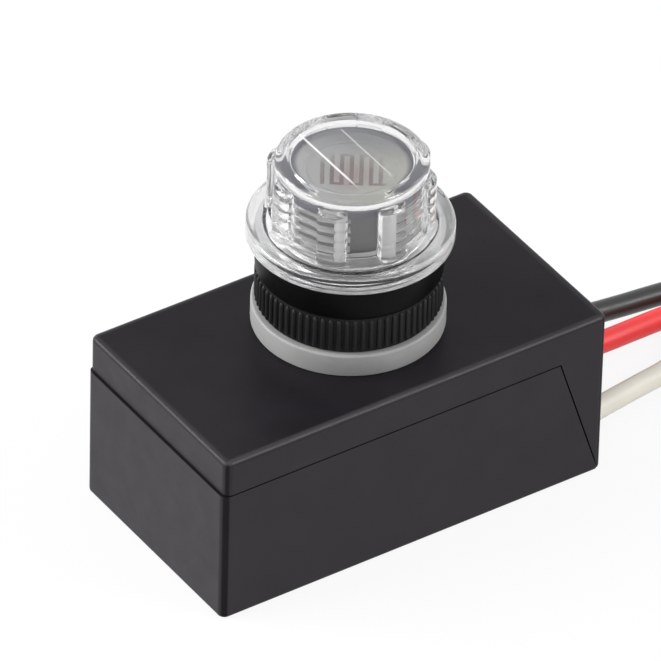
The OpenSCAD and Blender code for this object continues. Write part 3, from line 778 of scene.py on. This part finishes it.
def makePosts(s):
    tree = NodeTree("holderPostHighlights", {
        "Count": s["count"], "Turn": math.radians(s["turn"]), "Radius": s["radius"] * mm,
        "Wide": s["wide"] * mm, "Tall": (s["high"] - s["low"]) * mm,
        "Middle": (s["high"] + s["low"]) / 2 * mm, **axisInputs, "Finish": postHighlightFinish})
    post = tree.add("GeometryNodeMeshCylinder", {
        "Vertices": s["sides"], "Radius": tree.calc("MULTIPLY", tree.get("Wide"), 0.5),
        "Depth": tree.get("Tall")})
    ring = tree.add("GeometryNodeMeshCircle", {"Vertices": tree.get("Count"), "Radius": tree.get("Radius")})
    order = tree.add("GeometryNodeInputIndex").outputs[0]
    facing = tree.calc("DIVIDE", tree.calc("MULTIPLY", order, fullTurn), tree.get("Count"))
    placed = tree.add("GeometryNodeInstanceOnPoints", {"Points": ring.outputs[0], "Instance": post.outputs[0],
                                                       "Rotation": tree.vector(Z=facing)})
    place = tree.vector(X=tree.get("Axis x"), Y=tree.get("Axis y"), Z=tree.get("Middle"))
    moved = tree.add("GeometryNodeTransform", {"Geometry": placed.outputs[0], "Translation": place,
                                               "Rotation": tree.vector(Z=tree.get("Turn"))})
    return finishPiece(tree.build("holderPostHighlights", moved.outputs[0]), postHighlightFinish, 40)


posts = makePosts(postSettings)
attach(posts, "root")

# turns on the holder, in three runs with smooth gaps between them
turnSettings = {"pitch": 1.41, "root": 7.15, "crest": 8.1, "wide": 0.66, "low": 37.7, "high": 43.4,
                "over": 0.3, "runs": 3, "mid": -166.5, "half": 42, "step": 3, "sides": 8}


def makeTurns(s):
    around = [fullTurn * k / s["sides"] for k in range(s["sides"])]
    points, faces = [], []
    for run in range(s["runs"]):
        mid = s["mid"] + run * 360 / s["runs"]
        angles = [mid - s["half"] + s["step"] * i for i in range(int(2 * s["half"] / s["step"]) + 1)]
        base = s["low"] - s["pitch"] * (mid % 360) / 360
        while base <= s["high"]:
            start = len(points)
            for angle in angles:
                middle = base + s["pitch"] * ((angle - mid) / 360 + 0.5)
                for a in around:
                    r = s["root"] + (s["crest"] - s["root"]) * max(0, math.cos(a))
                    z = max(s["low"], middle + s["wide"] / 2 * math.sin(a))
                    z = min(s["high"] + s["over"], z)
                    points.append(ringPoint(stack["axis"], math.radians(angle), r, z))
            faces += tubeFaces(start, len(angles), s["sides"])
            base += s["pitch"]
    return meshPiece("holderThread", points, faces, turnFinish, 60)


turns = makeTurns(turnSettings)
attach(turns, "root")

# clear cap: flange, foot, barrel with lobes, rounded rim, window, and a faint thread inside
capSettings = {
    "high": 11.3, "flangeR": 12.45, "flangeH": 2.3, "soft": 0.6, "softLow": 0.25, "footR": 10.5, "footH": 0.8,
    "barrelR": 9.2, "rimR": 1.0, "recessR": 7.6, "recess": 0.12, "airGap": 0.12, "seatR": 9.7, "bore": 8.35,
    "windowT": 1.4, "windowR": 7.4, "windowStep": 0.2,
    "lobes": 8, "lobeR": 10.2, "lobeW": 3.5, "lobeDrop": 1.3, "lobeBevel": 0.7, "lobeTurn": -3,
    "lobeBox": 0.5, "pitch": 1.41, "perPitch": 10, "threadT": 0.1, "threadRuns": 3, "threadMid": -165, "threadHalf": 42,
    "threadFade": 0.8,
}


# angles round the cap, and how far each is out on a lobe
def capColumns(s):
    half = math.degrees(math.asin(s["lobeW"] / 2 / s["barrelR"]))
    pitch = 360 / s["lobes"]
    crown = [(half * math.sin(math.radians(t)), math.cos(math.radians(t)) ** s["lobeBox"])
             for t in range(-80, 81, 8)]
    left = [(-half - 1.5, 0.0), (-half - 0.5, 0.02), (-half, 0.08)]
    right = [(-a, lift) for a, lift in reversed(left)]
    bayFrom, bayTo = half + 1.5, pitch - half - 1.5
    bay = [(bayFrom + (bayTo - bayFrom) * i / 10, 0.0) for i in range(1, 10)]
    return [(s["lobeTurn"] + k * pitch + a, lift) for k in range(s["lobes"])
            for a, lift in left + crown + right + bay]


# outer outline from the flange's underside to the window: radius, height, and how far the lobes stand out
def capOutside(s):
    h, b, e, fr, fh, low = (s[k] for k in ("high", "barrelR", "soft", "flangeR", "flangeH", "softLow"))
    footOut, footIn, footTop = s["footR"], s["footR"] - s["footH"], fh + s["footH"]
    lobeTop = h - s["lobeDrop"]
    start, end = footTop + 0.3, lobeTop - s["lobeBevel"]
    dish, dishZ = s["recessR"], h - s["recess"]
    flange = (arcPoints(fr - low, s["airGap"] + low, low, 270, 360, 4) + [(fr, fh * 0.4)]
              + arcPoints(fr - e, fh - e, e, 0, 90, 6) + [(footOut + 0.35, fh)])
    foot = [(footOut + 0.12, fh + 0.02), (footOut - 0.06, fh + 0.12), (footIn + 0.12, footTop - 0.14),
            (footIn - 0.05, footTop - 0.02), (footIn - 0.2, footTop), (b + 0.12, footTop + 0.03),
            (b + 0.02, footTop + 0.14), (b, start)]
    barrel = [(b, start + (end - 0.15 - start) * i / 6) for i in range(1, 7)]
    crown = [(b, end + 0.04, 0.97), (b, end + 0.2, 0.85), (b, lobeTop - 0.12, 0.36),
             (b, lobeTop - 0.03, 0.2), (b, lobeTop, 0.06), (b, lobeTop + 0.04, 0)]
    rim = arcPoints(b - s["rimR"], h - s["rimR"], s["rimR"], 0, 90, 8)
    window = [(dish + 0.2, h), (dish + 0.06, h - 0.02), (dish - 0.06, dishZ + 0.02), (dish - 0.2, dishZ),
              (dish * 0.6, dishZ), (dish * 0.2, dishZ)]
    return ([(r, z, 0) for r, z in flange] + [(r, z, 1) for r, z in foot + barrel] + crown
            + [(r, z, 0) for r, z in rim + window])


def makeCap(s):
    columns = capColumns(s)
    h, bore, w = s["high"], s["bore"], s["windowR"]
    roof = h - s["windowT"]
    ceiling = roof - s["windowStep"]
    lobeRise = s["lobeR"] - s["barrelR"]
    threadFrom, threadTo = 0.3, ceiling - 0.5
    seat = [(s["flangeR"] - 1.2, s["airGap"]), (s["seatR"] + 0.15, s["airGap"]), (s["seatR"], 0.0),
            (bore + 0.7, 0.0), (bore + 0.45, 0.12)]
    top = [(bore, ceiling - 0.25), (bore - 0.08, ceiling - 0.06), (bore - 0.25, ceiling), (w + 0.08, ceiling),
           (w, ceiling + 0.05), (w - 0.06, roof - 0.04), (w - 0.2, roof), (w * 0.6, roof), (w * 0.2, roof)]
    rows = int(threadTo / (s["pitch"] / s["perPitch"]))
    threaded = [threadFrom + (threadTo - threadFrom) * i / rows for i in range(rows + 1)]

    def place(angle, r, z):
        return ringPoint(stack["axis"], math.radians(angle), r, capZ + z)

    def threadR(angle, z):
        wave = abs(math.sin(math.pi * ((z / s["pitch"] - angle / 360) % 1)))
        run = 360 / s["threadRuns"]
        fromMid = abs((angle - s["threadMid"] + run / 2) % run - run / 2)
        fades = ((z - threadFrom) / s["threadFade"], (threadTo - z) / s["threadFade"],
                 (s["threadHalf"] - fromMid) / 2)
        return bore + s["threadT"] * wave * math.prod(min(1, max(0, fade)) for fade in fades)

    points = []
    for r, z in reversed(top):
        points += [place(a, r, z) for a, _ in columns]
    for z in reversed(threaded):
        points += [place(a, threadR(a, z), z) for a, _ in columns]
    for r, z in reversed(seat):
        points += [place(a, r, z) for a, _ in columns]
    for r, z, out in capOutside(s):
        points += [place(a, max(r, s["barrelR"] + out * lift * lobeRise) if out else r, z)
                   for a, lift in columns]
    count = len(columns)
    last = len(points) - count
    faces = ringFaces(len(points) // count, count)
    points += [place(0, 0, roof), place(0, 0, h - s["recess"])]
    for j in range(count):
        k = (j + 1) % count
        faces.append((j, k, len(points) - 2))
        faces.append((last + j, last + k, len(points) - 1))
    return meshPiece("clearCap", points, faces, finishes["clear_plastic"], 50)


cap = makeCap(capSettings)
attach(cap, "root")
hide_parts("lens_cap")
print("cap made:", len(cap.data.polygons), "faces")


# case halves: the solids' own shapes, with each flat kept flat and the rounded edges shaded between them
def flatRegions(work):
    region, areas = {}, []
    for first in work.faces:
        if first in region:
            continue
        region[first] = len(areas)
        areas.append(0.0)
        waiting = [first]
        while waiting:
            face = waiting.pop()
            areas[region[face]] += face.calc_area()
            for edge in face.edges:
                for other in edge.link_faces:
                    if other not in region and other.normal.dot(first.normal) > 0.99999:
                        region[other] = region[first]
                        waiting.append(other)
    return region, areas


def smoothCopy(node, name, sharpAngle):
    mesh = nodes[node].data.copy()
    work = bmesh.new()
    work.from_mesh(mesh)
    bmesh.ops.remove_doubles(work, verts=work.verts, dist=2e-7)
    bmesh.ops.dissolve_degenerate(work, edges=work.edges, dist=1e-8)
    work.normal_update()
    region, areas = flatRegions(work)
    near = math.cos(math.radians(sharpAngle))
    normals = []
    for face in work.faces:
        for corner in face.loops:
            around = {region[f]: f for f in corner.vert.link_faces if f.normal.dot(face.normal) > near}
            total = sum((f.normal * areas[r] ** 2 for r, f in around.items()), Vector())
            normals.append(total.normalized() if total.length > 1e-20 else face.normal.copy())
    work.to_mesh(mesh)
    work.free()
    mesh.name = name
    piece = finishPiece(addObject(name, mesh), finishes[slotOf[node]], 180)
    mesh.normals_split_custom_set(normals)
    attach(piece, "root")
    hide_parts(node)


smoothCopy("base_tray", "baseTray", 50)
smoothCopy("top_cover", "topCover", 50)
print("case halves made")

# floor, surroundings and light, in metres and watts
stageSettings = {"floorSize": 4, "floorColor": (0.86, 0.86, 0.86), "roughness": 0.9, "shine": 0.1,
                 "shadow": 0.12, "low": 1.0, "high": 0.36, "fade": (0.15, 0.5), "aim": (0, 0, 0.02)}
softBoxes = {
    "keyLeft": {"place": (-0.6, 0.3, 0.4), "size": (0.5, 0.4), "power": 5.4},
    "fillRight": {"place": (0.65, -0.3, 0.4), "size": (0.5, 0.4), "power": 1.7},
    "edgeFront": {"place": (0.42, -0.58, 0.62), "size": (0.3, 0.3), "power": 2.7},
    "edgeBack": {"place": (-0.58, 0.62, 0.43), "size": (0.3, 0.3), "power": 3.2},
    "topSoft": {"place": (-0.1, -0.1, 0.8), "size": (0.5, 0.5), "power": 0.6},
}


# 1 for rays that show the background: straight from the camera, through glass, or mirrored
def seenFlag(material):
    path = addNode(material, "ShaderNodeLightPath")
    direct = calc(material, "MAXIMUM", path.outputs["Is Camera Ray"], path.outputs["Is Transmission Ray"])
    return calc(material, "MAXIMUM", direct, path.outputs["Is Glossy Ray"])


def mixShaders(material, share, first, second):
    mix = addNode(material, "ShaderNodeMixShader")
    if isinstance(share, float):
        mix.inputs[0].default_value = share
    else:
        link(material, share, mix.inputs[0])
    link(material, first.outputs[0], mix.inputs[1])
    link(material, second.outputs[0], mix.inputs[2])
    return mix


def makeFloor(s):
    material, plain = newMaterial("paleFloor", s["floorColor"], s["roughness"], Specular_IOR_Level=s["shine"])
    glow = addNode(material, "ShaderNodeEmission")
    pale = mixShaders(material, s["shadow"], glow, plain)
    whole = mixShaders(material, seenFlag(material), plain, pale)
    link(material, whole.outputs[0], material.node_tree.nodes["Material Output"].inputs["Surface"])
    h = s["floorSize"] / 2
    floor = meshPiece("floor", [(-h, -h, 0), (h, -h, 0), (h, h, 0), (-h, h, 0)], [(0, 1, 2, 3)], material)


def makeWorld(s):
    world = bpy.data.worlds.new("studio")
    scene.world = world
    world.use_nodes = True
    fill = world.node_tree.nodes["Background"]
    fill.inputs["Color"].default_value = (1, 1, 1, 1)
    height = separate(world, addNode(world, "ShaderNodeTexCoord").outputs["Generated"])[2]
    link(world, ramp(world, height, *s["fade"], s["low"], s["high"]), fill.inputs["Strength"])
    white = addNode(world, "ShaderNodeBackground", Color=(1, 1, 1, 1))
    pick = mixShaders(world, seenFlag(world), fill, white)
    link(world, pick.outputs[0], world.node_tree.nodes["World Output"].inputs["Surface"])


def softBox(name, s, aim):
    lamp = bpy.data.lights.new(name, "AREA")
    lamp.shape = "RECTANGLE"
    lamp.size, lamp.size_y = s["size"]
    lamp.energy = s["power"]
    made = addObject(name, lamp)
    made.location = s["place"]
    made.rotation_euler = (Vector(s["place"]) - Vector(aim)).to_track_quat("Z", "Y").to_euler()


makeFloor(stageSettings)
makeWorld(stageSettings)
for name, settings in softBoxes.items():
    softBox(name, settings, stageSettings["aim"])
scene.view_settings.view_transform = "Standard"
print("studio set")
